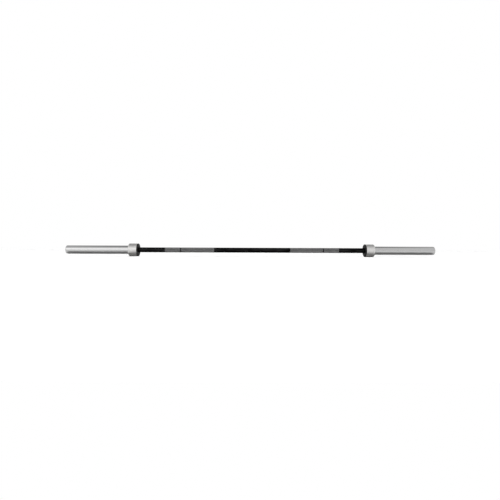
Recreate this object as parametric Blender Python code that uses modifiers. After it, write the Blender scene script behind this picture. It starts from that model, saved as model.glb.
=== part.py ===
"""Deadlift bar: a long, thin shaft that turns in two plate sleeves.

The bar lies along X with its middle at the origin. Each sleeve runs on two
bronze bushes. A shoulder on the shaft stops it from sliding inwards, and a
retaining ring in a groove near the tip of the shaft stops it from coming off.
"""
import math

import bmesh
import bpy

# Whole bar
BAR_LENGTH = 2.134
BETWEEN_COLLARS = 1.316
COLLAR_WIDTH = 0.052

# Shaft: its grip, and the thinner journals that run inside the sleeves
SHAFT_DIAMETER = 0.0285
JOURNAL_DIAMETER = 0.025
SHOULDER_DEPTH = 0.008
SHOULDER_CHAMFER = 0.0005
SHAFT_TIP_DEPTH = 0.012
SHAFT_TIP_CHAMFER = 0.0015
CENTRE_DRILL_DIAMETER = 0.007
CENTRE_DRILL_DEPTH = 0.006

# Knurled grips, each with a plain ring turned in it as a mark for the hands
GRIP_START = 0.221
GRIP_LENGTH = 0.283
GRIP_RISE = 0.00015
GRIP_RUNOUT = 0.0008
MARK_SPACING = 0.827
MARK_WIDTH = 0.007
MARK_DEPTH = 0.0004
MARK_EDGE = 0.0006

# Sleeve tube: a seat for the collar outside, and stepped bores inside
SLEEVE_DIAMETER = 0.050
COLLAR_SEAT_DIAMETER = 0.048
LAND_DIAMETER = 0.032
WASHER_BORE_DIAMETER = 0.0366
SLEEVE_END_ROUND = 0.003
SEAT_CHAMFER = 0.0008
MOUTH_CHAMFER = 0.0006

# Collar, pressed along the sleeve tube until it meets the tube's step
COLLAR_DIAMETER = 0.074
COLLAR_STEP_DEPTH = 0.004
COLLAR_OUTER_ROUND = 0.003
COLLAR_INNER_ROUND = 0.0008
COLLAR_BORE_CHAMFER = 0.0004

# Black cover on the collar's inner face, and the seal held in its hub
COVER_THICKNESS = 0.003
COVER_INSET = 0.0004
COVER_ROUND = 0.001
COVER_LIP_THICKNESS = 0.0015
COVER_SHAFT_CLEARANCE = 0.0012
HUB_WALL = 0.0018
HUB_LENGTH = 0.0045
SEAL_WIDTH = 0.0042
SEAL_LIP_WIDTH = 0.0010
SEAL_LIP_HEIGHT = 0.0014

# Bushes and thrust washers
BUSH_DIAMETER = 0.034
FLANGE_DIAMETER = 0.040
FLANGE_THICKNESS = 0.004
INNER_BUSH_LENGTH = 0.040
OUTER_BUSH_LENGTH = 0.036
BUSH_CHAMFER = 0.0006
BUSH_STAND = 0.0005
WASHER_DIAMETER = 0.036
WASHER_THICKNESS = 0.002

# Retaining ring on the shaft
SHAFT_RING_THICKNESS = 0.002
SHAFT_GROOVE_DEPTH = 0.0012
SHAFT_GROOVE_LAND = 0.002
SHAFT_RING_BACK_WIDTH = 0.0036
SHAFT_RING_END_WIDTH = 0.0022
SHAFT_RING_LUG = 0.0050
SHAFT_RING_GAP = 0.0060
SHAFT_RING_EYE = 0.0022

# End cap, and the retaining ring that holds it in the mouth of the sleeve
CAP_DIAMETER = 0.0384
CAP_THICKNESS = 0.005
CAP_CHAMFER = 0.0006
CAP_DISH_DIAMETER = 0.028
CAP_DISH_DEPTH = 0.0008
CAP_DISH_SLOPE = 0.0010
CAP_RING_DEPTH = 0.0020
CAP_RING_THICKNESS = 0.00175
CAP_GROOVE_DEPTH = 0.0013
CAP_RING_BACK_WIDTH = 0.0034
CAP_RING_END_WIDTH = 0.0022
CAP_RING_LUG = 0.0052
CAP_RING_GAP = 0.0120
CAP_RING_EYE = 0.0025

# Clearances: between pieces that touch, and round a journal that turns
FIT_GAP = 0.0003
RUNNING_GAP = 0.0004

# How finely the round shapes are cut
TURN_SEGMENTS = 32
ROUND_STEPS = 3
RING_STEPS = 24
EYE_STEPS = 10
SMOOTH_ANGLE = math.radians(30)
MERGE_DISTANCE = 0.00001

# Places along the bar, from its middle towards a tip: the collar's end
collar_face = BETWEEN_COLLARS / 2
collar_end = collar_face + COLLAR_WIDTH
tube_step = collar_end - COLLAR_STEP_DEPTH
cover_back = collar_face + COVER_THICKNESS
hub_end = cover_back + HUB_LENGTH
seal_start = collar_face + COVER_LIP_THICKNESS + FIT_GAP
sleeve_start = cover_back + FIT_GAP
shoulder = collar_face + SHOULDER_DEPTH
inner_washer_start = shoulder + FIT_GAP
inner_washer_end = inner_washer_start + WASHER_THICKNESS
flange_start = inner_washer_end + FIT_GAP
flange_end = flange_start + FLANGE_THICKNESS
inner_bush_end = flange_end + INNER_BUSH_LENGTH

# Places along the bar: the tip's end, worked back from the end of the sleeve
sleeve_end = BAR_LENGTH / 2
cap_ring_outer = sleeve_end - CAP_RING_DEPTH
cap_ring_inner = cap_ring_outer - CAP_RING_THICKNESS
cap_outer = cap_ring_inner - FIT_GAP
cap_inner = cap_outer - CAP_THICKNESS
shaft_tip = sleeve_end - SHAFT_TIP_DEPTH
shaft_groove_outer = shaft_tip - SHAFT_TIP_CHAMFER - SHAFT_GROOVE_LAND
shaft_ring_outer = shaft_groove_outer - FIT_GAP
shaft_ring_inner = shaft_ring_outer - SHAFT_RING_THICKNESS
shaft_groove_inner = shaft_ring_inner - FIT_GAP
outer_washer_end = shaft_ring_inner - FIT_GAP
outer_washer_start = outer_washer_end - WASHER_THICKNESS
outer_bush_end = outer_washer_start - FIT_GAP
outer_bush_start = outer_bush_end - OUTER_BUSH_LENGTH

# Radii that more than one piece needs
shaft_radius = SHAFT_DIAMETER / 2
tube_radius = SLEEVE_DIAMETER / 2
journal_radius = JOURNAL_DIAMETER / 2
running_radius = journal_radius + RUNNING_GAP
shaft_groove_radius = journal_radius - SHAFT_GROOVE_DEPTH
collar_radius = COLLAR_DIAMETER / 2
collar_seat_radius = COLLAR_SEAT_DIAMETER / 2
bush_radius = BUSH_DIAMETER / 2
flange_radius = FLANGE_DIAMETER / 2
hub_bore_radius = flange_radius - HUB_WALL
washer_radius = WASHER_DIAMETER / 2
cap_radius = CAP_DIAMETER / 2
mouth_radius = cap_radius + FIT_GAP
cap_groove_radius = mouth_radius + CAP_GROOVE_DEPTH


def finish(name, colour, roughness, metallic):
    """One material for one kind of surface."""
    material = bpy.data.materials.new(name)
    material.use_nodes = True
    shader = material.node_tree.nodes["Principled BSDF"]
    shader.inputs["Base Color"].default_value = (*colour, 1.0)
    shader.inputs["Roughness"].default_value = roughness
    shader.inputs["Metallic"].default_value = metallic
    material.diffuse_color = (*colour, 1.0)
    return material


def evaluated_mesh(helper, name):
    """The finished mesh of a helper object, welded; the helper is removed."""
    bpy.context.scene.collection.objects.link(helper)
    depsgraph = bpy.context.evaluated_depsgraph_get()
    mesh = bpy.data.meshes.new_from_object(helper.evaluated_get(depsgraph))
    bpy.data.objects.remove(helper, do_unlink=True)
    mesh.name = name
    shape = bmesh.new()
    shape.from_mesh(mesh)
    bmesh.ops.remove_doubles(shape, verts=shape.verts, dist=MERGE_DISTANCE)
    shape.to_mesh(mesh)
    shape.free()
    return mesh


def place(name, mesh, axis, material, along=0.0):
    """Put a piece on a turning axis, with its own Z along the bar."""
    piece = bpy.data.objects.new(name, mesh)
    bar.objects.link(piece)
    piece.parent = axis
    piece.location = (along, 0.0, 0.0)
    piece.rotation_euler = (0.0, math.pi / 2, 0.0)
    mesh.materials.clear()
    mesh.materials.append(material)
    mesh.shade_smooth()
    mesh.set_sharp_from_angle(angle=SMOOTH_ANGLE)
    return piece


def turned(name, profile, axis, material):
    """Turn a profile of (place along the bar, radius) points into a piece.

    The points run inwards along the outside and back out along the bore. A
    profile that starts and ends on the axis makes a piece without a bore.
    """
    points = [(radius, 0.0, along) for along, radius in profile]
    edges = [(i, i + 1) for i in range(len(points) - 1)]
    if profile[0][1] > 0.0:
        edges.append((len(points) - 1, 0))
    line = bpy.data.meshes.new(name + "_profile")
    line.from_pydata(points, edges, [])
    helper = bpy.data.objects.new(name + "_profile", line)
    screw = helper.modifiers.new("turn", "SCREW")
    screw.axis = "Z"
    screw.steps = TURN_SEGMENTS
    screw.render_steps = TURN_SEGMENTS
    screw.use_merge_vertices = True
    screw.merge_threshold = MERGE_DISTANCE
    return place(name, evaluated_mesh(helper, name), axis, material)


def rounded_corner(along, radius, size, facing):
    """Points of the quarter round between the outside and an end face.

    facing is +1 for the end face towards the tip and -1 for the other one.
    """
    points = []
    for step in range(ROUND_STEPS + 1):
        angle = math.pi / 2 * step / ROUND_STEPS
        if facing < 0:
            angle = math.pi / 2 - angle
        back = size * (1 - math.cos(angle))
        down = size * (1 - math.sin(angle))
        points.append((along - facing * back, radius - down))
    return points


def polar(radius, angle):
    """A point of a flat outline."""
    return (radius * math.cos(angle), radius * math.sin(angle))


def retaining_ring(name, seat_radius, side, sizes, middle, axis, material):
    """Sprung ring stamped from flat steel, with an eye in each lug for pliers.

    It is widest at its back and tapers towards the gap, so that it stays
    round when it is sprung. side is +1 for a ring that grips a shaft, whose
    lugs point out, and -1 for one that springs out in a bore.
    """
    thickness, back_width, end_width, lug, gap, eye = sizes
    gap_angle = gap / 2 / seat_radius
    lug_angle = lug / seat_radius

    def edge_radius(angle):
        beam = end_width + (back_width - end_width) * (1 - math.cos(angle)) / 2
        past_gap = min(angle, math.tau - angle) - gap_angle
        fade = min(max(past_gap / lug_angle * 2 - 1, 0.0), 1.0)
        ear = (1 + math.cos(math.pi * fade)) / 2
        return seat_radius + side * (beam + (lug - beam) * ear)

    lug_steps = [lug_angle * share for share in (0.0, 0.25, 0.5, 0.625, 0.75, 0.875, 1.0)]
    first = gap_angle + lug_angle
    beam_steps = [
        first + (math.tau - 2 * first) * step / RING_STEPS for step in range(1, RING_STEPS)
    ]
    angles = [gap_angle + step for step in lug_steps]
    angles += beam_steps
    angles += [math.tau - gap_angle - step for step in reversed(lug_steps)]
    outline = [polar(seat_radius, angle) for angle in angles]
    outline += [polar(edge_radius(angle), angle) for angle in reversed(angles)]

    outlines = [outline]
    for turn in (1, -1):
        eye_x, eye_y = polar(seat_radius + side * lug / 2, turn * (gap_angle + lug_angle * 0.45))
        hole = [polar(eye / 2, math.tau * step / EYE_STEPS) for step in range(EYE_STEPS)]
        outlines.append([(eye_x + x, eye_y + y) for x, y in hole])

    curve = bpy.data.curves.new(name + "_outline", "CURVE")
    curve.dimensions = "2D"
    curve.fill_mode = "BOTH"
    curve.extrude = thickness / 2
    for points in outlines:
        spline = curve.splines.new("POLY")
        spline.points.add(len(points) - 1)
        for point, (x, y) in zip(spline.points, points):
            point.co = (x, y, 0.0, 1.0)
        spline.use_cyclic_u = True
    helper = bpy.data.objects.new(name + "_outline", curve)
    mesh = evaluated_mesh(helper, name)
    bpy.data.curves.remove(curve)
    return place(name, mesh, axis, material, middle)


def make_shaft(material):
    """The one-piece shaft: plain middle, two knurled grips, plain outer ends,
    then a shoulder and a journal at each tip."""
    grip_end = GRIP_START + GRIP_LENGTH
    grip_radius = shaft_radius + GRIP_RISE
    mark_outer = (MARK_SPACING + MARK_WIDTH) / 2
    mark_inner = (MARK_SPACING - MARK_WIDTH) / 2
    mark_radius = shaft_radius - MARK_DEPTH
    half = [
        (shaft_tip - CENTRE_DRILL_DEPTH, 0.0),
        (shaft_tip, CENTRE_DRILL_DIAMETER / 2),
        (shaft_tip, journal_radius - SHAFT_TIP_CHAMFER),
        (shaft_tip - SHAFT_TIP_CHAMFER, journal_radius),
        (shaft_groove_outer, journal_radius),
        (shaft_groove_outer, shaft_groove_radius),
        (shaft_groove_inner, shaft_groove_radius),
        (shaft_groove_inner, journal_radius),
        (shoulder, journal_radius),
        (shoulder, shaft_radius - SHOULDER_CHAMFER),
        (shoulder - SHOULDER_CHAMFER, shaft_radius),
        (grip_end, shaft_radius),
        (grip_end - GRIP_RUNOUT, grip_radius),
        (mark_outer, grip_radius),
        (mark_outer - MARK_EDGE, mark_radius),
        (mark_inner + MARK_EDGE, mark_radius),
        (mark_inner, grip_radius),
        (GRIP_START + GRIP_RUNOUT, grip_radius),
        (GRIP_START, shaft_radius),
    ]
    other_half = [(-along, radius) for along, radius in reversed(half)]
    return turned("shaft", half + other_half, None, material)


def make_sleeve(side, axis, material):
    """The plate sleeve: a tube with stepped bores for the bushes and the cap."""
    flange_bore = flange_radius + FIT_GAP
    bush_bore = bush_radius + FIT_GAP
    land_radius = LAND_DIAMETER / 2
    washer_bore = WASHER_BORE_DIAMETER / 2
    washer_floor = outer_bush_end - BUSH_STAND
    cap_seat = cap_inner - FIT_GAP
    groove_outer = cap_ring_outer + FIT_GAP
    profile = rounded_corner(sleeve_end, tube_radius, SLEEVE_END_ROUND, 1)
    profile += [
        (tube_step, tube_radius),
        (tube_step, collar_seat_radius),
        (sleeve_start + SEAT_CHAMFER, collar_seat_radius),
        (sleeve_start, collar_seat_radius - SEAT_CHAMFER),
        (sleeve_start, flange_bore),
        (flange_end + FIT_GAP, flange_bore),
        (flange_end + FIT_GAP, bush_bore),
        (inner_bush_end + FIT_GAP, bush_bore),
        (inner_bush_end + FIT_GAP, land_radius),
        (outer_bush_start - FIT_GAP, land_radius),
        (outer_bush_start - FIT_GAP, bush_bore),
        (washer_floor, bush_bore),
        (washer_floor, washer_bore),
        (cap_seat, washer_bore),
        (cap_seat, mouth_radius),
        (cap_outer, mouth_radius),
        (cap_outer, cap_groove_radius),
        (groove_outer, cap_groove_radius),
        (groove_outer, mouth_radius),
        (sleeve_end - MOUTH_CHAMFER, mouth_radius),
        (sleeve_end, mouth_radius + MOUTH_CHAMFER),
    ]
    return turned(side + "_sleeve", profile, axis, material)


def make_collar(side, axis, material):
    """The ring that the plates stop against; its bore hides the tube's step."""
    bore = collar_seat_radius + FIT_GAP
    mouth = tube_radius + FIT_GAP
    profile = rounded_corner(collar_end, collar_radius, COLLAR_OUTER_ROUND, 1)
    profile += rounded_corner(sleeve_start, collar_radius, COLLAR_INNER_ROUND, -1)
    profile += [
        (sleeve_start, bore + COLLAR_BORE_CHAMFER),
        (sleeve_start + COLLAR_BORE_CHAMFER, bore),
        (tube_step - FIT_GAP, bore),
        (tube_step - FIT_GAP, mouth),
        (collar_end - COLLAR_BORE_CHAMFER, mouth),
        (collar_end, mouth + COLLAR_BORE_CHAMFER),
    ]
    return turned(side + "_collar", profile, axis, material)


def make_cover(side, axis, material):
    """The black disc on the collar's inner face; its hub plugs the tube."""
    cover_radius = collar_radius - COVER_INSET
    lip_bore = shaft_radius + COVER_SHAFT_CLEARANCE
    lip_back = collar_face + COVER_LIP_THICKNESS
    profile = [
        (hub_end, flange_radius),
        (cover_back, flange_radius),
        (cover_back, cover_radius),
    ]
    profile += rounded_corner(collar_face, cover_radius, COVER_ROUND, -1)
    profile += [
        (collar_face, lip_bore),
        (lip_back, lip_bore),
        (lip_back, hub_bore_radius),
        (hub_end, hub_bore_radius),
    ]
    return turned(side + "_inner_cover", profile, axis, material)


def make_seal(side, axis, material):
    """The rubber ring in the cover's hub, whose lip wipes the shaft."""
    seal_radius = hub_bore_radius - FIT_GAP
    seal_end = seal_start + SEAL_WIDTH
    lip_radius = shaft_radius + RUNNING_GAP
    lip_end = seal_start + SEAL_LIP_WIDTH
    profile = [
        (seal_end, seal_radius),
        (seal_start, seal_radius),
        (seal_start, lip_radius),
        (lip_end, lip_radius),
        (lip_end + SEAL_LIP_HEIGHT, lip_radius + SEAL_LIP_HEIGHT),
        (seal_end, lip_radius + SEAL_LIP_HEIGHT),
    ]
    return turned(side + "_shaft_seal", profile, axis, material)


def make_inner_bush(side, axis, material):
    """The flanged bush at the collar; its flange takes the inward thrust."""
    profile = [
        (inner_bush_end, bush_radius - BUSH_CHAMFER),
        (inner_bush_end - BUSH_CHAMFER, bush_radius),
        (flange_end, bush_radius),
        (flange_end, flange_radius),
        (flange_start, flange_radius),
        (flange_start, running_radius),
        (inner_bush_end, running_radius),
    ]
    return turned(side + "_inner_bush", profile, axis, material)


def make_outer_bush(side, axis, material):
    """The plain bush near the tip of the shaft."""
    profile = [
        (outer_bush_end, bush_radius),
        (outer_bush_start + BUSH_CHAMFER, bush_radius),
        (outer_bush_start, bush_radius - BUSH_CHAMFER),
        (outer_bush_start, running_radius),
        (outer_bush_end, running_radius),
    ]
    return turned(side + "_outer_bush", profile, axis, material)


def make_washer(name, start, end, axis, material):
    """A flat thrust washer round the journal."""
    profile = [
        (end, washer_radius),
        (start, washer_radius),
        (start, running_radius),
        (end, running_radius),
    ]
    return turned(name, profile, axis, material)


def make_shaft_ring(side, axis, material):
    """The ring in the shaft's groove, which keeps the sleeve on the shaft."""
    sizes = (
        SHAFT_RING_THICKNESS,
        SHAFT_RING_BACK_WIDTH,
        SHAFT_RING_END_WIDTH,
        SHAFT_RING_LUG,
        SHAFT_RING_GAP,
        SHAFT_RING_EYE,
    )
    middle = (shaft_ring_outer + shaft_ring_inner) / 2
    seat = shaft_groove_radius + FIT_GAP
    return retaining_ring(side + "_shaft_ring", seat, 1, sizes, middle, axis, material)


def make_end_cap(side, axis, material):
    """The plain disc, dished on its face, that closes the sleeve."""
    dish_radius = CAP_DISH_DIAMETER / 2
    dish_floor = cap_outer - CAP_DISH_DEPTH
    profile = [
        (dish_floor, 0.0),
        (dish_floor, dish_radius - CAP_DISH_SLOPE),
        (cap_outer, dish_radius),
        (cap_outer, cap_radius - CAP_CHAMFER),
        (cap_outer - CAP_CHAMFER, cap_radius),
        (cap_inner, cap_radius),
        (cap_inner, 0.0),
    ]
    return turned(side + "_end_cap", profile, axis, material)


def make_cap_ring(side, axis, material):
    """The ring in the mouth of the sleeve, which keeps the end cap in."""
    sizes = (
        CAP_RING_THICKNESS,
        CAP_RING_BACK_WIDTH,
        CAP_RING_END_WIDTH,
        CAP_RING_LUG,
        CAP_RING_GAP,
        CAP_RING_EYE,
    )
    middle = (cap_ring_outer + cap_ring_inner) / 2
    seat = cap_groove_radius - FIT_GAP
    return retaining_ring(side + "_cap_ring", seat, -1, sizes, middle, axis, material)


def turning_axis(name, turn):
    """An empty on the bar's axis that carries the pieces of one end."""
    axis = bpy.data.objects.new(name, None)
    axis.empty_display_size = SLEEVE_DIAMETER
    axis.rotation_euler = (0.0, 0.0, turn)
    bar.objects.link(axis)
    return axis


for old in list(bpy.data.objects):
    bpy.data.objects.remove(old, do_unlink=True)

bar = bpy.data.collections.new("deadlift_bar")
bpy.context.scene.collection.children.link(bar)

black_steel = finish("black_steel", (0.012, 0.012, 0.013), 0.38, 1.0)
chrome = finish("chrome", (0.75, 0.75, 0.76), 0.12, 1.0)
satin_chrome = finish("satin_chrome", (0.62, 0.61, 0.60), 0.28, 1.0)
black_nylon = finish("black_nylon", (0.01, 0.01, 0.01), 0.55, 0.0)
black_rubber = finish("black_rubber", (0.015, 0.015, 0.015), 0.75, 0.0)
bronze = finish("bronze", (0.50, 0.30, 0.12), 0.35, 1.0)
ground_steel = finish("ground_steel", (0.42, 0.42, 0.43), 0.30, 1.0)
spring_steel = finish("spring_steel", (0.05, 0.05, 0.055), 0.42, 1.0)
turned_aluminium = finish("turned_aluminium", (0.60, 0.60, 0.61), 0.30, 1.0)

make_shaft(black_steel)

for side, turn in (("right", 0.0), ("left", math.pi)):
    shaft_axis = turning_axis(side + "_shaft_axis", turn)
    make_washer(side + "_inner_washer", inner_washer_start, inner_washer_end, shaft_axis, ground_steel)
    make_washer(side + "_outer_washer", outer_washer_start, outer_washer_end, shaft_axis, ground_steel)
    make_shaft_ring(side, shaft_axis, spring_steel)

    sleeve_axis = turning_axis(side + "_sleeve_axis", turn)
    make_sleeve(side, sleeve_axis, chrome)
    make_collar(side, sleeve_axis, satin_chrome)
    make_cover(side, sleeve_axis, black_nylon)
    make_seal(side, sleeve_axis, black_rubber)
    make_inner_bush(side, sleeve_axis, bronze)
    make_outer_bush(side, sleeve_axis, bronze)
    make_end_cap(side, sleeve_axis, turned_aluminium)
    make_cap_ring(side, sleeve_axis, spring_steel)
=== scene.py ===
import math

import bpy
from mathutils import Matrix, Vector


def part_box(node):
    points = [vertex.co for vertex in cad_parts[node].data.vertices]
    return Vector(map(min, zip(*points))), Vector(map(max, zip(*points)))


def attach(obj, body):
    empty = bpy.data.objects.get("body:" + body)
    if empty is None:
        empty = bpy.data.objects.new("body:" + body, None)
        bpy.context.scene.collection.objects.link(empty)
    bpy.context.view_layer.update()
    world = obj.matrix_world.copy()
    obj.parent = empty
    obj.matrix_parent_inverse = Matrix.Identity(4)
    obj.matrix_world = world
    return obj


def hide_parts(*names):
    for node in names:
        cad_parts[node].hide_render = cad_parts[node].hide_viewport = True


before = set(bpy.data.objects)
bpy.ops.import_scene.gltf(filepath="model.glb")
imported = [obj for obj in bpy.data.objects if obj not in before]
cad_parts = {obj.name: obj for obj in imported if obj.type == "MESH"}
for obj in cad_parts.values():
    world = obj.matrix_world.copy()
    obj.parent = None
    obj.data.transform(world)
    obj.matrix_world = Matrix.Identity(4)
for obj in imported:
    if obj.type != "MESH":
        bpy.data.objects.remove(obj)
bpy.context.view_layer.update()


# The shaft: one long bar of spring steel, turned, knurled in two grips with a
# plain ring in each, and blackened. Its journals inside the sleeves are ground
# bright, with a groove near each tip for a retaining ring.
SHAFT_SIDES = 60
SHAFT_RADIUS = 0.01425
SHAFT_EDGE = 0.00015
JOURNAL_RADIUS = 0.0125
SHOULDER_CHAMFER = 0.0005
TIP_CHAMFER = 0.0015
RING_GROOVE_RADIUS = 0.0113
CENTRE_DRILL_RADIUS = 0.0035
CENTRE_DRILL_DEPTH = 0.006
GRIP = (0.221, 0.504)
MARK = (0.410, 0.417)
MARK_RADIUS = 0.01385
MARK_EDGE = 0.0006
KNURL_FLOOR_RADIUS = 0.0140
KNURL_CREST_RADIUS = 0.0144
KNURL_ROW = 0.00244
FIT_GAP = 0.0003
FACE_SLACK = 0.0001
WELD_DISTANCE = 0.000005
SHARP_ANGLE = math.radians(30)
SMOOTH_ANGLE = math.radians(40)
OXIDE_COLOURS = (0.002, 0.002, 0.002), (0.013, 0.013, 0.0133)
RUBBED_COLOUR = (0.06, 0.06, 0.062)
OXIDE_SHEEN = (0.35, 0.35, 0.36, 1.0)
OXIDE_ROUGHNESS = 0.26, 0.44
TURNING_DEPTH = 0.000004
KNURL_FLOOR_COLOUR = (0.06, 0.06, 0.06)
KNURL_CREST_GREYS = 0.235, 0.395
KNURL_ROUGHNESS = 0.50, 0.30
KNURL_GRAIN_DEPTH = 0.000006
GROUND_COLOURS = (0.36, 0.36, 0.365), (0.48, 0.48, 0.485)
GROUND_ROUGHNESS = 0.16, 0.30
GRINDING_DEPTH = 0.000003


def along(node):
    """Where a piece starts and ends along the bar."""
    low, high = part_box(node)
    return low.x, high.x


def turn_piece(name, profile, sides, bevel=0.0, first_face="NOTHING"):
    """Turn a piece as on a lathe: a ring stands across the bar at the first
    (place along the bar, radius) and is drawn out from each to the next. A
    radius of 0 closes it on the axis, and a last ring that meets the first
    one closes a bored piece. first_face "NGON" closes the first ring of a
    solid piece. Sharp edges are broken by the bevel."""
    bpy.ops.object.select_all(action="DESELECT")
    place, radius = profile[0]
    bpy.ops.mesh.primitive_circle_add(
        vertices=sides, radius=radius, fill_type=first_face,
        location=(place, 0, 0), rotation=(0, math.pi / 2, 0)
    )
    piece = bpy.context.object
    piece.name = name
    piece.data.name = name
    bpy.ops.object.transform_apply(location=True, rotation=True, scale=True)
    bpy.ops.object.mode_set(mode="EDIT")
    for next_place, next_radius in profile[1:]:
        step = (next_place - place, 0, 0)
        bpy.ops.mesh.extrude_region_move(TRANSFORM_OT_translate={"value": step})
        if next_radius:
            scale = next_radius / radius
            bpy.ops.transform.resize(value=(1, scale, scale), center_override=(next_place, 0, 0))
        else:
            bpy.ops.mesh.merge(type="CENTER")
        place, radius = next_place, next_radius
    close_mesh()
    bpy.ops.object.mode_set(mode="OBJECT")
    if bevel:
        break_edges(piece, bevel)
    return piece


def close_mesh():
    """Weld the seams of the mesh in edit mode, and turn its faces outwards."""
    bpy.ops.mesh.select_all(action="SELECT")
    bpy.ops.mesh.remove_doubles(threshold=WELD_DISTANCE)
    bpy.ops.mesh.normals_make_consistent(inside=False)


def break_edges(piece, width):
    """Break the sharp edges of a piece with a small round."""
    bpy.context.view_layer.objects.active = piece
    edge = piece.modifiers.new("broken edges", "BEVEL")
    edge.width = width
    edge.segments = 2
    edge.limit_method = "ANGLE"
    edge.angle_limit = SHARP_ANGLE
    bpy.ops.object.modifier_apply(modifier=edge.name)


def smooth(piece):
    """Smooth shading that keeps the flat faces flat and the edges crisp."""
    bpy.ops.object.select_all(action="DESELECT")
    piece.select_set(True)
    bpy.context.view_layer.objects.active = piece
    bpy.ops.object.shade_smooth_by_angle(angle=SMOOTH_ANGLE)
    flats = piece.modifiers.new("flat faces", "WEIGHTED_NORMAL")
    flats.keep_sharp = True
    bpy.ops.object.modifier_apply(modifier=flats.name)


def knurl_band(start, end):
    """One knurled stretch. A grid of one row is drawn and repeated, each face
    is poked and the old edges dissolved, which leaves a net of diamonds, and
    each diamond is poked outwards into a small pyramid. The corners at both
    rims are then drawn out to the plain shaft."""
    rows = round((end - start) / KNURL_ROW)
    row = (end - start) / rows
    first_row = [(start, KNURL_FLOOR_RADIUS), (start + row, KNURL_FLOOR_RADIUS)]
    band = turn_piece("band", first_row, SHAFT_SIDES)
    repeat = band.modifiers.new("rows", "ARRAY")
    repeat.count = rows
    repeat.use_relative_offset = False
    repeat.use_constant_offset = True
    repeat.constant_offset_displace = (row, 0, 0)
    repeat.use_merge_vertices = True
    repeat.merge_threshold = 2 * WELD_DISTANCE
    bpy.ops.object.modifier_apply(modifier=repeat.name)
    corners = len(band.data.vertices)
    bpy.ops.object.mode_set(mode="EDIT")
    bpy.ops.mesh.select_all(action="SELECT")
    bpy.ops.mesh.poke()
    bpy.ops.mesh.select_mode(type="EDGE")
    bpy.ops.mesh.select_all(action="DESELECT")
    bpy.ops.object.mode_set(mode="OBJECT")
    for edge in band.data.edges:
        ends = [band.data.vertices[v].co.x for v in edge.vertices]
        at_rim = max(ends) < start + row / 4 or min(ends) > end - row / 4
        edge.select = max(edge.vertices) < corners and not at_rim
    bpy.ops.object.mode_set(mode="EDIT")
    bpy.ops.mesh.dissolve_edges(use_verts=False)
    bpy.ops.mesh.select_mode(type="FACE")
    bpy.ops.mesh.select_all(action="DESELECT")
    bpy.ops.object.mode_set(mode="OBJECT")
    for face in band.data.polygons:
        face.select = len(face.vertices) == 4
    bpy.ops.object.mode_set(mode="EDIT")
    sagged_floor = KNURL_FLOOR_RADIUS * math.cos(math.pi / SHAFT_SIDES)
    bpy.ops.mesh.poke(offset=KNURL_CREST_RADIUS - sagged_floor)
    bpy.ops.mesh.select_mode(type="VERT")
    halfway_up = (KNURL_FLOOR_RADIUS + KNURL_CREST_RADIUS) / 2
    scale = SHAFT_RADIUS / KNURL_FLOOR_RADIUS
    for rim in (start, end):
        bpy.ops.mesh.select_all(action="DESELECT")
        bpy.ops.object.mode_set(mode="OBJECT")
        for corner in band.data.vertices:
            low = math.hypot(corner.co.y, corner.co.z) < halfway_up
            corner.select = low and abs(corner.co.x - rim) < row / 8
        bpy.ops.object.mode_set(mode="EDIT")
        bpy.ops.transform.resize(value=(1, scale, scale), center_override=(rim, 0, 0))
    bpy.ops.object.mode_set(mode="OBJECT")
    return band


def join_pieces(name, pieces):
    """Join pieces that meet edge to edge into one closed piece."""
    bpy.ops.object.select_all(action="DESELECT")
    for piece in pieces:
        piece.select_set(True)
    bpy.context.view_layer.objects.active = pieces[0]
    bpy.ops.object.join()
    whole = bpy.context.object
    whole.name = name
    whole.data.name = name
    bpy.ops.object.mode_set(mode="EDIT")
    close_mesh()
    bpy.ops.object.mode_set(mode="OBJECT")
    return whole


def other_end(piece, name):
    """A copy of a piece of the right end, turned end for end to the left."""
    bpy.ops.object.select_all(action="DESELECT")
    piece.select_set(True)
    bpy.context.view_layer.objects.active = piece
    bpy.ops.object.duplicate(linked=False)
    twin = bpy.context.object
    twin.name = name
    twin.data.name = name
    twin.rotation_euler.z = math.pi
    bpy.ops.object.transform_apply(location=True, rotation=True, scale=True)
    return twin


shaft_tip = along("shaft")[1]
shoulder = along("right_inner_washer")[0] - FIT_GAP
shaft_ring_start, shaft_ring_end = along("right_shaft_ring")
plain_middle = turn_piece("middle", [(0, SHAFT_RADIUS), (GRIP[0], SHAFT_RADIUS)], SHAFT_SIDES)
mark_ring = turn_piece("mark", [
    (MARK[0], SHAFT_RADIUS),
    (MARK[0] + MARK_EDGE, MARK_RADIUS),
    (MARK[1] - MARK_EDGE, MARK_RADIUS),
    (MARK[1], SHAFT_RADIUS),
], SHAFT_SIDES)
outer_end = turn_piece("outer", [
    (GRIP[1], SHAFT_RADIUS),
    (shoulder - SHOULDER_CHAMFER, SHAFT_RADIUS),
    (shoulder, SHAFT_RADIUS - SHOULDER_CHAMFER),
    (shoulder, JOURNAL_RADIUS),
    (shaft_ring_start - FIT_GAP, JOURNAL_RADIUS),
    (shaft_ring_start - FIT_GAP, RING_GROOVE_RADIUS),
    (shaft_ring_end + FIT_GAP, RING_GROOVE_RADIUS),
    (shaft_ring_end + FIT_GAP, JOURNAL_RADIUS),
    (shaft_tip - TIP_CHAMFER, JOURNAL_RADIUS),
    (shaft_tip, JOURNAL_RADIUS - TIP_CHAMFER),
    (shaft_tip, CENTRE_DRILL_RADIUS),
    (shaft_tip - CENTRE_DRILL_DEPTH, 0),
], SHAFT_SIDES, bevel=SHAFT_EDGE)
right_half = join_pieces("right_half", [
    plain_middle,
    knurl_band(GRIP[0], MARK[0]),
    mark_ring,
    knurl_band(MARK[1], GRIP[1]),
    outer_end,
])
shaft = join_pieces("knurled_shaft", [right_half, other_end(right_half, "left_half")])


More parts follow.
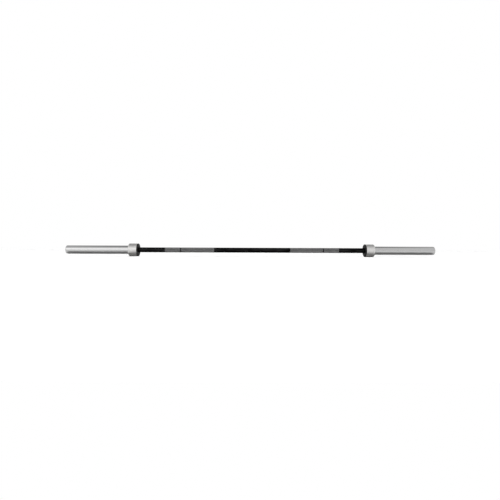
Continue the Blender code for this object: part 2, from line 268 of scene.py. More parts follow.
def new_finish(name, metallic):
    """A new finish: its material, its shader, and the place in the piece."""
    material = bpy.data.materials.new(name)
    material.use_nodes = True
    shader = material.node_tree.nodes["Principled BSDF"]
    shader.inputs["Metallic"].default_value = metallic
    place = add_node(material, "TexCoord", {}).outputs["Object"]
    return material, shader, place


def add_node(material, kind, sockets, **settings):
    """One node of a finish, or of the studio's surround. A socket takes a value
    or another node's output."""
    made = material.node_tree.nodes.new("ShaderNode" + kind)
    for key, value in settings.items():
        setattr(made, key, value)
    for key, value in sockets.items():
        put(material, made, key, value)
    return made


def put(material, target, key, value):
    """Set one socket of a node, or link it."""
    if isinstance(value, bpy.types.NodeSocket):
        material.node_tree.links.new(value, target.inputs[key])
    else:
        target.inputs[key].default_value = value


def marks(material, place, stretch, detail=3.0):
    """Fine marks, so many to the metre along the bar and across it."""
    drawn = add_node(material, "Mapping", {"Vector": place, "Scale": stretch})
    noise = add_node(material, "TexNoise", {"Vector": drawn.outputs[0], "Scale": 1.0, "Detail": detail})
    return noise.outputs[0]


def spread(material, value, low, high, first, last):
    """A value between low and high, spread from first to last."""
    made = add_node(material, "MapRange", {
        "Value": value, "From Min": low, "From Max": high, "To Min": first, "To Max": last,
    })
    return made.outputs[0]


def tint(material, share, under, over):
    """A colour between two others."""
    made = add_node(material, "Mix", {}, data_type="RGBA")
    put(material, made, 0, share)
    put(material, made, 6, under if isinstance(under, bpy.types.NodeSocket) else (*under, 1.0))
    put(material, made, 7, over if isinstance(over, bpy.types.NodeSocket) else (*over, 1.0))
    return made.outputs[2]


def relief(material, shader, height, depth):
    """Fine relief of the surface, in metres."""
    made = add_node(material, "Bump", {"Height": height, "Strength": 1.0, "Distance": depth})
    put(material, shader, "Normal", made.outputs[0])


def from_axis(material, place):
    """How far a point is from the bar's axis."""
    apart = add_node(material, "SeparateXYZ", {0: place})
    across = add_node(material, "CombineXYZ", {1: apart.outputs[1], 2: apart.outputs[2]})
    return add_node(material, "VectorMath", {0: across.outputs[0]}, operation="LENGTH").outputs["Value"]


black_steel, shader, place = new_finish("black_oxide_steel", 1.0)
clouds = marks(black_steel, place, (16, 80, 80), detail=4.0)
turning = marks(black_steel, place, (2600, 40, 40))
rubs = marks(black_steel, place, (30, 1500, 1500), detail=2.0)
worn = spread(black_steel, rubs, 0.64, 0.78, 0.0, 0.6)
cloudy = spread(black_steel, clouds, 0.35, 0.65, 0.0, 1.0)
black = tint(black_steel, cloudy, *OXIDE_COLOURS)
put(black_steel, shader, "Base Color", tint(black_steel, worn, black, RUBBED_COLOUR))
put(black_steel, shader, "Roughness", spread(black_steel, clouds, 0.3, 0.7, *OXIDE_ROUGHNESS))
shader.inputs["Specular Tint"].default_value = OXIDE_SHEEN
relief(black_steel, shader, turning, TURNING_DEPTH)

grip_steel, shader, place = new_finish("worn_knurl_steel", 1.0)
height = from_axis(grip_steel, place)
handling = marks(grip_steel, place, (14, 90, 90), detail=4.0)
crest = spread(grip_steel, height, KNURL_FLOOR_RADIUS, KNURL_CREST_RADIUS, 0.0, 1.0)
polished = spread(grip_steel, handling, 0.25, 0.75, *KNURL_CREST_GREYS)
bright = add_node(grip_steel, "CombineColor", {0: polished, 1: polished, 2: polished}).outputs[0]
put(grip_steel, shader, "Base Color", tint(grip_steel, crest, KNURL_FLOOR_COLOUR, bright))
put(grip_steel, shader, "Roughness", spread(grip_steel, crest, 0.0, 1.0, *KNURL_ROUGHNESS))
relief(grip_steel, shader, marks(grip_steel, place, (5000, 5000, 5000)), KNURL_GRAIN_DEPTH)

ground_steel, shader, place = new_finish("ground_bright_steel", 1.0)
grinding = marks(ground_steel, place, (3500, 60, 60))
put(ground_steel, shader, "Base Color", tint(ground_steel, grinding, *GROUND_COLOURS))
put(ground_steel, shader, "Roughness", spread(ground_steel, grinding, 0.3, 0.7, *GROUND_ROUGHNESS))
relief(ground_steel, shader, grinding, GRINDING_DEPTH)

for finish in (black_steel, grip_steel, ground_steel):
    shaft.data.materials.append(finish)
for face in shaft.data.polygons:
    out = abs(face.center.x)
    in_grip = GRIP[0] < out < MARK[0] or MARK[1] < out < GRIP[1]
    face.material_index = 2 if out > shoulder - FACE_SLACK else 1 if in_grip else 0
smooth(shaft)
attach(shaft, "shaft")
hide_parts("shaft")


# The thrust washers: steel rings ground flat on both faces. They stay on the
# shaft, one against its shoulder and one under the ring near its tip.
WASHER_SIDES = 96
WASHER_RADIUS = 0.018
WASHER_EDGE = 0.0002
RUNNING_RADIUS = 0.0129


def both_ends(piece):
    """A finished piece of the right end, and its copy for the left end."""
    return ("right", piece), ("left", other_end(piece, piece.name.replace("right", "left")))


for where in ("inner", "outer"):
    washer_start, washer_end = along(f"right_{where}_washer")
    right_washer = turn_piece(f"right_{where}_thrust_washer", [
        (washer_start, RUNNING_RADIUS),
        (washer_start, WASHER_RADIUS),
        (washer_end, WASHER_RADIUS),
        (washer_end, RUNNING_RADIUS),
        (washer_start, RUNNING_RADIUS),
    ], WASHER_SIDES, bevel=WASHER_EDGE)
    smooth(right_washer)
    right_washer.data.materials.append(ground_steel)
    for side, washer in both_ends(right_washer):
        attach(washer, "shaft")
        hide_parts(f"{side}_{where}_washer")


# The shaft seals: moulded rubber rings with a lip that wipes the shaft,
# pressed into the hub of the black cover.
SEAL_SIDES = 96
SEAL_RADIUS = 0.0179
SEAL_LIP_CLEARANCE = 0.0004
SEAL_LIP_RADIUS = SHAFT_RADIUS + SEAL_LIP_CLEARANCE
SEAL_LIP_WIDTH = 0.0010
SEAL_LIP_HEIGHT = 0.0014
SEAL_EDGE = 0.0002
RUBBER_COLOURS = (0.010, 0.010, 0.010), (0.022, 0.022, 0.021)
RUBBER_ROUGHNESS = 0.60, 0.80
RUBBER_SHINE = 0.3
RUBBER_GRAIN_DEPTH = 0.00001
seal_start, seal_end = along("right_shaft_seal")
right_seal = turn_piece("right_lip_seal", [
    (seal_start, SEAL_LIP_RADIUS),
    (seal_start, SEAL_RADIUS),
    (seal_end, SEAL_RADIUS),
    (seal_end, SEAL_LIP_RADIUS + SEAL_LIP_HEIGHT),
    (seal_start + SEAL_LIP_WIDTH + SEAL_LIP_HEIGHT, SEAL_LIP_RADIUS + SEAL_LIP_HEIGHT),
    (seal_start + SEAL_LIP_WIDTH, SEAL_LIP_RADIUS),
    (seal_start, SEAL_LIP_RADIUS),
], SEAL_SIDES, bevel=SEAL_EDGE)
smooth(right_seal)

black_rubber, shader, place = new_finish("moulded_black_rubber", 0.0)
bloom = marks(black_rubber, place, (300, 300, 300), detail=4.0)
put(black_rubber, shader, "Base Color", tint(black_rubber, bloom, *RUBBER_COLOURS))
put(black_rubber, shader, "Roughness", spread(black_rubber, bloom, 0.3, 0.7, *RUBBER_ROUGHNESS))
shader.inputs["Specular IOR Level"].default_value = RUBBER_SHINE
relief(black_rubber, shader, marks(black_rubber, place, (4000, 4000, 4000)), RUBBER_GRAIN_DEPTH)

right_seal.data.materials.append(black_rubber)
for side, seal in both_ends(right_seal):
    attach(seal, f"{side}_sleeve")
    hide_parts(f"{side}_shaft_seal")


# The bushes: sintered bronze that holds oil in its pores, pressed into the
# sleeve at each end. The one at the collar has a flange that takes the thrust.
BUSH_SIDES = 96
BUSH_RADIUS = 0.017
BUSH_CHAMFER = 0.0006
FLANGE_RADIUS = 0.020
FLANGE_THICKNESS = 0.004
BUSH_EDGE = 0.00015
PORE_COLOUR = (0.13, 0.07, 0.025)
BRONZE_COLOUR = (0.52, 0.32, 0.13)
BRONZE_ROUGHNESS = 0.22, 0.50
PORE_DEPTH = 0.00002
inner_bush_start, inner_bush_end = along("right_inner_bush")
outer_bush_start, outer_bush_end = along("right_outer_bush")
flange_end = inner_bush_start + FLANGE_THICKNESS
flanged_bush = turn_piece("right_flanged_bush", [
    (inner_bush_start, RUNNING_RADIUS + BUSH_CHAMFER),
    (inner_bush_start, FLANGE_RADIUS),
    (flange_end, FLANGE_RADIUS),
    (flange_end, BUSH_RADIUS),
    (inner_bush_end - BUSH_CHAMFER, BUSH_RADIUS),
    (inner_bush_end, BUSH_RADIUS - BUSH_CHAMFER),
    (inner_bush_end, RUNNING_RADIUS + BUSH_CHAMFER),
    (inner_bush_end - BUSH_CHAMFER, RUNNING_RADIUS),
    (inner_bush_start + BUSH_CHAMFER, RUNNING_RADIUS),
    (inner_bush_start, RUNNING_RADIUS + BUSH_CHAMFER),
], BUSH_SIDES, bevel=BUSH_EDGE)
smooth(flanged_bush)
plain_bush = turn_piece("right_plain_bush", [
    (outer_bush_start, RUNNING_RADIUS + BUSH_CHAMFER),
    (outer_bush_start, BUSH_RADIUS - BUSH_CHAMFER),
    (outer_bush_start + BUSH_CHAMFER, BUSH_RADIUS),
    (outer_bush_end, BUSH_RADIUS),
    (outer_bush_end, RUNNING_RADIUS + BUSH_CHAMFER),
    (outer_bush_end - BUSH_CHAMFER, RUNNING_RADIUS),
    (outer_bush_start + BUSH_CHAMFER, RUNNING_RADIUS),
    (outer_bush_start, RUNNING_RADIUS + BUSH_CHAMFER),
], BUSH_SIDES, bevel=BUSH_EDGE)
smooth(plain_bush)

bronze, shader, place = new_finish("oiled_sintered_bronze", 1.0)
pores = marks(bronze, place, (2500, 2500, 2500), detail=2.0)
oil = marks(bronze, place, (60, 60, 60))
open_pores = spread(bronze, pores, 0.30, 0.45, 0.0, 1.0)
put(bronze, shader, "Base Color", tint(bronze, open_pores, PORE_COLOUR, BRONZE_COLOUR))
put(bronze, shader, "Roughness", spread(bronze, oil, 0.35, 0.65, *BRONZE_ROUGHNESS))
relief(bronze, shader, pores, PORE_DEPTH)

for where, right_bush in (("inner", flanged_bush), ("outer", plain_bush)):
    right_bush.data.materials.append(bronze)
    for side, bush in both_ends(right_bush):
        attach(bush, f"{side}_sleeve")
        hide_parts(f"{side}_{where}_bush")


# The retaining rings on the shaft: stamped spring steel with a dark phosphate
# coat, widest at the back and with an eye in each lug, sprung into the groove.
RING_SIDES = 96
LUG_SIDES = 32
SHAFT_RING_SEAT = RING_GROOVE_RADIUS + FIT_GAP
SHAFT_RING_WIDTHS = (0.0036, 0.0022)
SHAFT_RING_GAP = 0.0060
SHAFT_RING_LUG_RADIUS = 0.0024
SHAFT_RING_EYES = (0.0062, -0.0127)
SHAFT_RING_EYE_RADIUS = 0.0011
BLANK_REACH = 0.002
LUG_REACH = 0.003
CUTTER_REACH = 0.004
SPRING_STEEL_COLOURS = (0.020, 0.020, 0.022), (0.085, 0.083, 0.080)
SPRING_STEEL_ROUGHNESS = 0.36, 0.56
CRYSTAL_DEPTH = 0.00001


def disc(radius, start, end, sides, across=0.0, up=0.0):
    """A disc across the bar, beside or above its axis."""
    bpy.ops.object.select_all(action="DESELECT")
    bpy.ops.mesh.primitive_cylinder_add(
        vertices=sides, radius=radius, depth=end - start,
        location=((start + end) / 2, across, up), rotation=(0, math.pi / 2, 0)
    )
    bpy.ops.object.transform_apply(location=True, rotation=True, scale=True)
    return bpy.context.object


def combine(piece, tool, operation):
    """Cut a piece with a tool, or join the tool to it."""
    bpy.context.view_layer.objects.active = piece
    step = piece.modifiers.new("tool", "BOOLEAN")
    step.operation = operation
    step.object = tool
    bpy.ops.object.modifier_apply(modifier=step.name)
    bpy.data.objects.remove(tool)


def retaining_ring(name, start, end, seat, side, widths, gap, lug_radius, eyes, eye_radius):
    """A sprung ring. Its seat is round about the axis and its free edge is off
    centre, so it is widest at the back. side is +1 where it grips a shaft and
    -1 where it springs out in a bore. Its gap is at the bottom, between two
    lugs, whose eyes stand beside and below the axis. It is shaped as a long
    blank, and its thickness is cut from that at the end."""
    back, ends = widths
    free = seat + side * (back + ends) / 2
    off_centre = side * (back - ends) / 2
    blank = (start - BLANK_REACH, end + BLANK_REACH)
    lug = (start - LUG_REACH, end + LUG_REACH)
    low, high = start - CUTTER_REACH, end + CUTTER_REACH
    if side > 0:
        ring = disc(free, *blank, RING_SIDES, up=off_centre)
        bore = disc(seat, low, high, RING_SIDES)
    else:
        ring = disc(seat, *blank, RING_SIDES)
        bore = disc(free, low, high, RING_SIDES, up=off_centre)
    ring.name = name
    ring.data.name = name
    combine(ring, bore, "DIFFERENCE")
    reach = max(seat, free) + CUTTER_REACH
    bpy.ops.object.select_all(action="DESELECT")
    bpy.ops.mesh.primitive_cube_add(size=1, location=((start + end) / 2, 0, -reach / 2))
    opening = bpy.context.object
    opening.scale = (high - low, gap, reach)
    bpy.ops.object.transform_apply(location=True, rotation=True, scale=True)
    combine(ring, opening, "DIFFERENCE")
    across, up = eyes
    for turn in (1, -1):
        combine(ring, disc(lug_radius, *lug, LUG_SIDES, turn * across, up), "UNION")
    for turn in (1, -1):
        combine(ring, disc(eye_radius, low, high, LUG_SIDES, turn * across, up), "DIFFERENCE")
    combine(ring, disc(reach, start, end, LUG_SIDES), "INTERSECT")
    bpy.ops.object.mode_set(mode="EDIT")
    close_mesh()
    bpy.ops.object.mode_set(mode="OBJECT")
    return ring


right_shaft_ring = retaining_ring(
    "right_shaft_circlip", shaft_ring_start, shaft_ring_end, SHAFT_RING_SEAT, 1, SHAFT_RING_WIDTHS,
    SHAFT_RING_GAP, SHAFT_RING_LUG_RADIUS, SHAFT_RING_EYES, SHAFT_RING_EYE_RADIUS
)
smooth(right_shaft_ring)

spring_steel, shader, place = new_finish("phosphated_spring_steel", 1.0)
crystals = marks(spring_steel, place, (1800, 1800, 1800), detail=4.0)
put(spring_steel, shader, "Base Color", tint(spring_steel, crystals, *SPRING_STEEL_COLOURS))
rough = spread(spring_steel, crystals, 0.3, 0.7, *SPRING_STEEL_ROUGHNESS)
put(spring_steel, shader, "Roughness", rough)
relief(spring_steel, shader, crystals, CRYSTAL_DEPTH)

right_shaft_ring.data.materials.append(spring_steel)
for side, ring in both_ends(right_shaft_ring):
    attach(ring, "shaft")
    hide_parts(f"{side}_shaft_ring")


# The plate sleeves: steel tube, turned, stepped inside for the bushes and the
# end cap, and bright chromed. Plates leave fine scuffs along them.
SLEEVE_SIDES = 96
SLEEVE_RADIUS = 0.025
SLEEVE_ROUND = 0.003
SEAT_RADIUS = 0.024
SEAT_CHAMFER = 0.0008
COLLAR_STEP = 0.004
FLANGE_BORE = FLANGE_RADIUS + FIT_GAP
BUSH_BORE = BUSH_RADIUS + FIT_GAP
LAND_BORE = 0.016
WASHER_BORE = 0.0183
BUSH_STAND = 0.0005
MOUTH_BORE = 0.0195
MOUTH_CHAMFER = 0.0006
CAP_GROOVE_RADIUS = 0.0208
SLEEVE_EDGE = 0.0002
RUB_REACH = 0.15
CHROME_COLOUR = (0.47, 0.47, 0.47)
CHROME_ROUGHNESS = 0.06, 0.13
SCUFF_COLOUR = (0.375, 0.375, 0.375)
SCUFF_ROUGHNESS = 0.12
RUB_COLOUR = (0.40, 0.40, 0.395)
RUB_ROUGHNESS = 0.10
SLEEVE_TOOL_LINES = 1400.0
SLEEVE_LINE_DEPTH = 0.000003


def rounded_corner(place, radius, size, facing, steps=8):
    """Places round a corner between the outside and an end face, which faces
    the tip (+1) or the middle of the bar (-1)."""
    turns = [math.pi / 2 * step / steps for step in range(steps + 1)]
    if facing < 0:
        turns.reverse()
    return [
        (place - facing * size * (1 - math.cos(turn)), radius - size * (1 - math.sin(turn)))
        for turn in turns
    ]


sleeve_start, sleeve_end = along("right_sleeve")
collar_start, collar_end = along("right_collar")
cap_start, cap_end = along("right_end_cap")
cap_ring_start, cap_ring_end = along("right_cap_ring")
tube_step = collar_end - COLLAR_STEP
right_sleeve = turn_piece("right_plate_sleeve", [
    *rounded_corner(sleeve_end, SLEEVE_RADIUS, SLEEVE_ROUND, 1),
    (tube_step, SLEEVE_RADIUS),
    (tube_step, SEAT_RADIUS),
    (sleeve_start + SEAT_CHAMFER, SEAT_RADIUS),
    (sleeve_start, SEAT_RADIUS - SEAT_CHAMFER),
    (sleeve_start, FLANGE_BORE),
    (flange_end + FIT_GAP, FLANGE_BORE),
    (flange_end + FIT_GAP, BUSH_BORE),
    (inner_bush_end + FIT_GAP, BUSH_BORE),
    (inner_bush_end + FIT_GAP, LAND_BORE),
    (outer_bush_start - FIT_GAP, LAND_BORE),
    (outer_bush_start - FIT_GAP, BUSH_BORE),
    (outer_bush_end - BUSH_STAND, BUSH_BORE),
    (outer_bush_end - BUSH_STAND, WASHER_BORE),
    (cap_start - FIT_GAP, WASHER_BORE),
    (cap_start - FIT_GAP, MOUTH_BORE),
    (cap_end, MOUTH_BORE),
    (cap_end, CAP_GROOVE_RADIUS),
    (cap_ring_end + FIT_GAP, CAP_GROOVE_RADIUS),
    (cap_ring_end + FIT_GAP, MOUTH_BORE),
    (sleeve_end - MOUTH_CHAMFER, MOUTH_BORE),
    (sleeve_end, MOUTH_BORE + MOUTH_CHAMFER),
    (sleeve_end, SLEEVE_RADIUS - SLEEVE_ROUND),
], SLEEVE_SIDES, bevel=SLEEVE_EDGE)
smooth(right_sleeve)


def reckon(material, operation, *values, **settings):
    """A sum, a product or the like, of values or of other nodes' outputs."""
    sockets = dict(enumerate(values))
    return add_node(material, "Math", sockets, operation=operation, **settings).outputs[0]


def from_middle(material, place):
    """How far a point is from the middle of the bar, towards either end."""
    return reckon(material, "ABSOLUTE", add_node(material, "SeparateXYZ", {0: place}).outputs[0])


def tool_lines(material, place, lines):
    """Lines that a lathe tool leaves, so many to the metre: they run round the
    outside of a piece, and in circles on its end faces."""
    path = reckon(material, "ADD", from_middle(material, place), from_axis(material, place))
    sockets = {"W": path, "Scale": lines, "Detail": 3.0}
    return add_node(material, "TexNoise", sockets, noise_dimensions="1D").outputs[0]


chrome, shader, place = new_finish("bright_chrome", 1.0)
scuffs = marks(chrome, place, (6, 700, 700), detail=4.0)
haze = marks(chrome, place, (7, 30, 30))
scuffed = spread(chrome, scuffs, 0.56, 0.74, 0.0, 1.0)
rub_rings = spread(chrome, marks(chrome, place, (150, 6, 6), detail=4.0), 0.54, 0.70, 0.0, 1.0)
near_collar = spread(
    chrome, from_middle(chrome, place), collar_end, collar_end + RUB_REACH, 1.0, 0.3
)
rubbed = reckon(chrome, "MULTIPLY", rub_rings, near_collar)
plated = tint(chrome, scuffed, CHROME_COLOUR, SCUFF_COLOUR)
put(chrome, shader, "Base Color", tint(chrome, rubbed, plated, RUB_COLOUR))
smear = spread(chrome, haze, 0.3, 0.7, *CHROME_ROUGHNESS)
rough = reckon(chrome, "MULTIPLY_ADD", scuffed, SCUFF_ROUGHNESS, smear)
rough = reckon(chrome, "MULTIPLY_ADD", rubbed, RUB_ROUGHNESS, rough)
put(chrome, shader, "Roughness", rough)
relief(chrome, shader, tool_lines(chrome, place, SLEEVE_TOOL_LINES), SLEEVE_LINE_DEPTH)

right_sleeve.data.materials.append(chrome)
for side, sleeve in both_ends(right_sleeve):
    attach(sleeve, f"{side}_sleeve")
    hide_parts(f"{side}_sleeve")


# The collars: wide steel rings that the plates stop against, turned all over
# and left satin, pressed on the inner end of each sleeve.
COLLAR_SIDES = 128
COLLAR_RADIUS = 0.037
COLLAR_OUTER_ROUND = 0.003
COLLAR_INNER_ROUND = 0.0008
COLLAR_BORE = SEAT_RADIUS + FIT_GAP
COLLAR_MOUTH = SLEEVE_RADIUS + FIT_GAP
BORE_CHAMFER = 0.0004
COLLAR_EDGE = 0.0002
WORN_START = 0.003
WORN_END = 0.001
SATIN_COLOURS = (0.46, 0.456, 0.449), (0.58, 0.575, 0.567)
SATIN_ROUGHNESS = 0.34, 0.48
KNOCK_COLOUR = (0.40, 0.395, 0.388)
WORN_COLOUR = (0.66, 0.655, 0.65)
WORN_POLISH = -0.12
COLLAR_TOOL_LINES = 1100.0
COLLAR_LINE_DEPTH = 0.000008
right_collar = turn_piece("right_stop_collar", [
    *rounded_corner(collar_end, COLLAR_RADIUS, COLLAR_OUTER_ROUND, 1),
    *rounded_corner(collar_start, COLLAR_RADIUS, COLLAR_INNER_ROUND, -1, steps=4),
    (collar_start, COLLAR_BORE + BORE_CHAMFER),
    (collar_start + BORE_CHAMFER, COLLAR_BORE),
    (tube_step - FIT_GAP, COLLAR_BORE),
    (tube_step - FIT_GAP, COLLAR_MOUTH),
    (collar_end - BORE_CHAMFER, COLLAR_MOUTH),
    (collar_end, COLLAR_MOUTH + BORE_CHAMFER),
    (collar_end, COLLAR_RADIUS - COLLAR_OUTER_ROUND),
], COLLAR_SIDES, bevel=COLLAR_EDGE)
smooth(right_collar)

satin, shader, place = new_finish("satin_turned_steel", 1.0)
turned_lines = tool_lines(satin, place, COLLAR_TOOL_LINES)
patches = marks(satin, place, (40, 70, 70))
knocks = spread(satin, marks(satin, place, (170, 170, 170), detail=4.0), 0.66, 0.72, 0.0, 1.0)
at_rim = spread(
    satin, from_axis(satin, place), COLLAR_RADIUS - WORN_START, COLLAR_RADIUS - WORN_END, 0.0, 1.0
)
at_face = spread(
    satin, from_middle(satin, place), collar_end - WORN_START, collar_end - WORN_END, 0.0, 1.0
)
worn_corner = reckon(satin, "MULTIPLY", at_rim, at_face)
turned = tint(satin, patches, *SATIN_COLOURS)
turned = tint(satin, knocks, turned, KNOCK_COLOUR)
put(satin, shader, "Base Color", tint(satin, worn_corner, turned, WORN_COLOUR))
dull = spread(satin, turned_lines, 0.3, 0.7, *SATIN_ROUGHNESS)
put(satin, shader, "Roughness", reckon(satin, "MULTIPLY_ADD", worn_corner, WORN_POLISH, dull))
relief(satin, shader, turned_lines, COLLAR_LINE_DEPTH)

right_collar.data.materials.append(satin)
for side, collar in both_ends(right_collar):
    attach(collar, f"{side}_sleeve")
    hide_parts(f"{side}_collar")


# The inner covers: moulded black nylon discs with a hub, pushed into the mouth
# of each sleeve to close it round the shaft and to hold the seal.
COVER_INSET = 0.0004
COVER_RADIUS = COLLAR_RADIUS - COVER_INSET
COVER_THICKNESS = 0.003
COVER_ROUND = 0.001
COVER_EDGE = 0.00015
COVER_SHAFT_CLEARANCE = 0.0012
COVER_BORE = SHAFT_RADIUS + COVER_SHAFT_CLEARANCE
COVER_LIP_THICKNESS = 0.0015
HUB_BORE = 0.0182
RECESS_OUTER = 0.0332
RECESS_INNER = 0.0196
RECESS_DEPTH = 0.0004
NYLON_COLOURS = (0.006, 0.006, 0.006), (0.014, 0.014, 0.014)
NYLON_ROUGHNESS = 0.55, 0.75
NYLON_SHINE = 0.12
NYLON_GRAIN_DEPTH = 0.00003
cover_face, hub_end = along("right_inner_cover")
cover_back = cover_face + COVER_THICKNESS
cover_lip = cover_face + COVER_LIP_THICKNESS
right_cover = turn_piece("right_dust_cover", [
    (hub_end, FLANGE_RADIUS),
    (cover_back, FLANGE_RADIUS),
    (cover_back, COVER_RADIUS),
    *rounded_corner(cover_face, COVER_RADIUS, COVER_ROUND, -1, steps=5),
    (cover_face, RECESS_OUTER),
    (cover_face + RECESS_DEPTH, RECESS_OUTER - RECESS_DEPTH),
    (cover_face + RECESS_DEPTH, RECESS_INNER + RECESS_DEPTH),
    (cover_face, RECESS_INNER),
    (cover_face, COVER_BORE),
    (cover_lip, COVER_BORE),
    (cover_lip, HUB_BORE),
    (hub_end, HUB_BORE),
    (hub_end, FLANGE_RADIUS),
], COLLAR_SIDES, bevel=COVER_EDGE)
smooth(right_cover)

nylon, shader, place = new_finish("moulded_black_nylon", 0.0)
texture = marks(nylon, place, (1600, 1600, 1600), detail=2.0)
flow = marks(nylon, place, (90, 90, 90))
put(nylon, shader, "Base Color", tint(nylon, flow, *NYLON_COLOURS))
put(nylon, shader, "Roughness", spread(nylon, texture, 0.3, 0.7, *NYLON_ROUGHNESS))
shader.inputs["Specular IOR Level"].default_value = NYLON_SHINE
relief(nylon, shader, texture, NYLON_GRAIN_DEPTH)

right_cover.data.materials.append(nylon)
for side, cover in both_ends(right_cover):
    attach(cover, f"{side}_sleeve")
    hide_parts(f"{side}_inner_cover")


# The end caps: aluminium discs faced on a lathe, with a shallow dish and the
# dimple of the centre, dropped into the mouth of each sleeve against a step.
CAP_RADIUS = 0.0192
CAP_CHAMFER = 0.0006
DISH_RADIUS = 0.014
DISH_SLOPE = 0.001
DISH_DEPTH = 0.0008
DIMPLE_RADIUS = 0.0012
DIMPLE_DEPTH = 0.001
CAP_EDGE = 0.0001
ALUMINIUM_COLOURS = (0.50, 0.50, 0.505), (0.64, 0.64, 0.645)
ALUMINIUM_ROUGHNESS = 0.20, 0.36
FACING_LINES = 3000.0
FACING_DEPTH = 0.00001
right_cap = turn_piece("right_end_disc", [
    (cap_start, CAP_RADIUS - CAP_CHAMFER),
    (cap_start + CAP_CHAMFER, CAP_RADIUS),
    (cap_end - CAP_CHAMFER, CAP_RADIUS),
    (cap_end, CAP_RADIUS - CAP_CHAMFER),
    (cap_end, DISH_RADIUS),
    (cap_end - DISH_DEPTH, DISH_RADIUS - DISH_SLOPE),
    (cap_end - DISH_DEPTH, DIMPLE_RADIUS),
    (cap_end - DISH_DEPTH - DIMPLE_DEPTH, 0),
], SLEEVE_SIDES, bevel=CAP_EDGE, first_face="NGON")
smooth(right_cap)

aluminium, shader, place = new_finish("faced_aluminium", 1.0)
facing = tool_lines(aluminium, place, FACING_LINES)
put(aluminium, shader, "Base Color", tint(aluminium, facing, *ALUMINIUM_COLOURS))
put(aluminium, shader, "Roughness", spread(aluminium, facing, 0.3, 0.7, *ALUMINIUM_ROUGHNESS))
relief(aluminium, shader, facing, FACING_DEPTH)

right_cap.data.materials.append(aluminium)
for side, cap in both_ends(right_cap):
    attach(cap, f"{side}_sleeve")
    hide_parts(f"{side}_end_cap")


# The retaining rings of the end caps: the same stamped steel as the rings on
# the shaft, but sprung outwards into the groove in the mouth of each sleeve.
CAP_RING_SEAT = CAP_GROOVE_RADIUS - FIT_GAP
CAP_RING_WIDTHS = (0.0034, 0.0022)
CAP_RING_GAP = 0.0120
CAP_RING_LUG_RADIUS = 0.0024
CAP_RING_EYES = (0.0071, -0.0164)
CAP_RING_EYE_RADIUS = 0.00125
right_cap_ring = retaining_ring(
    "right_cap_circlip", cap_ring_start, cap_ring_end, CAP_RING_SEAT, -1, CAP_RING_WIDTHS,
    CAP_RING_GAP, CAP_RING_LUG_RADIUS, CAP_RING_EYES, CAP_RING_EYE_RADIUS
)
smooth(right_cap_ring)
right_cap_ring.data.materials.append(spring_steel)
for side, ring in both_ends(right_cap_ring):
    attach(ring, f"{side}_sleeve")
    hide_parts(f"{side}_cap_ring")


# The studio: a white floor that the collars stand on, clear from below, a white
# surround with a darker ceiling, a wide soft box in front, and a broad light
# from above and behind, which the bright metal doesn't mirror.
FLOOR_SIDES = 96
FLOOR_RADIUS = 30.0
FLOOR_GAP = 0.0001
FLOOR_HEIGHT = -COLLAR_RADIUS - FLOOR_GAP
FLOOR_COLOUR = (0.98, 0.98, 0.98, 1.0)
FLOOR_ROUGHNESS = 0.9
bpy.ops.object.select_all(action="DESELECT")
bpy.ops.mesh.primitive_circle_add(
    vertices=FLOOR_SIDES, radius=FLOOR_RADIUS, location=(0, 0, FLOOR_HEIGHT), fill_type="NGON"
)
floor = bpy.context.object
floor.name = "studio_floor"
white_floor = bpy.data.materials.new("white_floor")
white_floor.use_nodes = True
shader = white_floor.node_tree.nodes["Principled BSDF"]
shader.inputs["Base Color"].default_value = FLOOR_COLOUR
shader.inputs["Roughness"].default_value = FLOOR_ROUGHNESS
shader.inputs["Specular IOR Level"].default_value = 0.0
below = add_node(white_floor, "NewGeometry", {}).outputs["Backfacing"]
clear = add_node(white_floor, "BsdfTransparent", {}).outputs[0]
one_way = add_node(white_floor, "MixShader", {0: below, 1: shader.outputs[0], 2: clear}).outputs[0]
put(white_floor, white_floor.node_tree.nodes["Material Output"], "Surface", one_way)
floor.data.materials.append(white_floor)

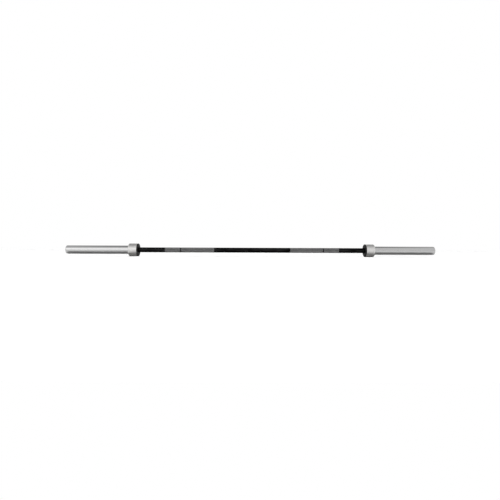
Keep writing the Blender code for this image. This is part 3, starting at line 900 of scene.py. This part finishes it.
LIGHT_LEVEL = 0.19
CEILING_LEVEL = 0.35
CEILING_LEAN = 0.25
CEILING_EDGE = 0.82, 0.95
world = bpy.data.worlds.new("studio")
bpy.context.scene.world = world
world.use_nodes = True
background = world.node_tree.nodes["Background"]
background.inputs["Color"].default_value = (1.0, 1.0, 1.0, 1.0)
around = add_node(world, "TexCoord", {}).outputs["Generated"]
direction = add_node(world, "SeparateXYZ", {0: around}).outputs
upward = reckon(world, "MULTIPLY_ADD", direction["Y"], CEILING_LEAN, direction["Z"])
ceiling = spread(world, upward, *CEILING_EDGE, 1.0, CEILING_LEVEL)
rays = add_node(world, "LightPath", {}).outputs
seen = reckon(world, "ADD", rays["Is Camera Ray"], rays["Is Glossy Ray"])
seen = reckon(world, "ADD", seen, rays["Is Transmission Ray"], use_clamp=True)
strength = add_node(world, "Mix", {0: seen, 2: LIGHT_LEVEL, 3: ceiling}, data_type="FLOAT").outputs[0]
put(world, background, "Strength", strength)

BOX_WIDTH = 5.2
BOX_HEIGHT = 2.4
BOX_POWER = 33.0
BOX_PLACE = (-0.85, -3.0, 1.2)
BOX_TARGET = (-0.85, 0.0, 0.55)
front_box = bpy.data.lights.new("front_box", "AREA")
front_box.shape = "RECTANGLE"
front_box.size = BOX_WIDTH
front_box.size_y = BOX_HEIGHT
front_box.energy = BOX_POWER
box_holder = bpy.data.objects.new("front_box", front_box)
bpy.context.scene.collection.objects.link(box_holder)
box_holder.location = BOX_PLACE
box_holder.rotation_euler = (Vector(BOX_PLACE) - Vector(BOX_TARGET)).to_track_quat("Z", "Y").to_euler()

TOP_LIGHT_STRENGTH = 3.0
TOP_LIGHT_SPREAD = math.radians(24)
TOP_LIGHT_LEAN = math.radians(-30)
top = bpy.data.lights.new("top_light", "SUN")
top.energy = TOP_LIGHT_STRENGTH
top.angle = TOP_LIGHT_SPREAD
top_light = bpy.data.objects.new("top_light", top)
bpy.context.scene.collection.objects.link(top_light)
top_light.rotation_euler = (TOP_LIGHT_LEAN, 0, 0)
top_light.visible_glossy = False

CAMERA_DISTANCE = 1.99
CAMERA_HEIGHT = 0.0013
CAMERA_TURN = math.radians(-1.15)
CAMERA_TILT = math.radians(-0.22)
CAMERA_LENS = 24.57
CAMERA_SENSOR = 36.0
CAMERA_SHIFT = -0.0045
camera = bpy.data.objects.new("camera", bpy.data.cameras.new("camera"))
bpy.context.scene.collection.objects.link(camera)
camera.data.sensor_width = CAMERA_SENSOR
camera.data.lens = CAMERA_LENS
camera.data.shift_x = CAMERA_SHIFT
camera.location = (
    CAMERA_DISTANCE * math.sin(CAMERA_TURN), -CAMERA_DISTANCE * math.cos(CAMERA_TURN), CAMERA_HEIGHT
)
camera.rotation_euler = (math.pi / 2, CAMERA_TILT, CAMERA_TURN)
bpy.context.scene.camera = camera
bpy.context.scene.view_settings.view_transform = "Standard"
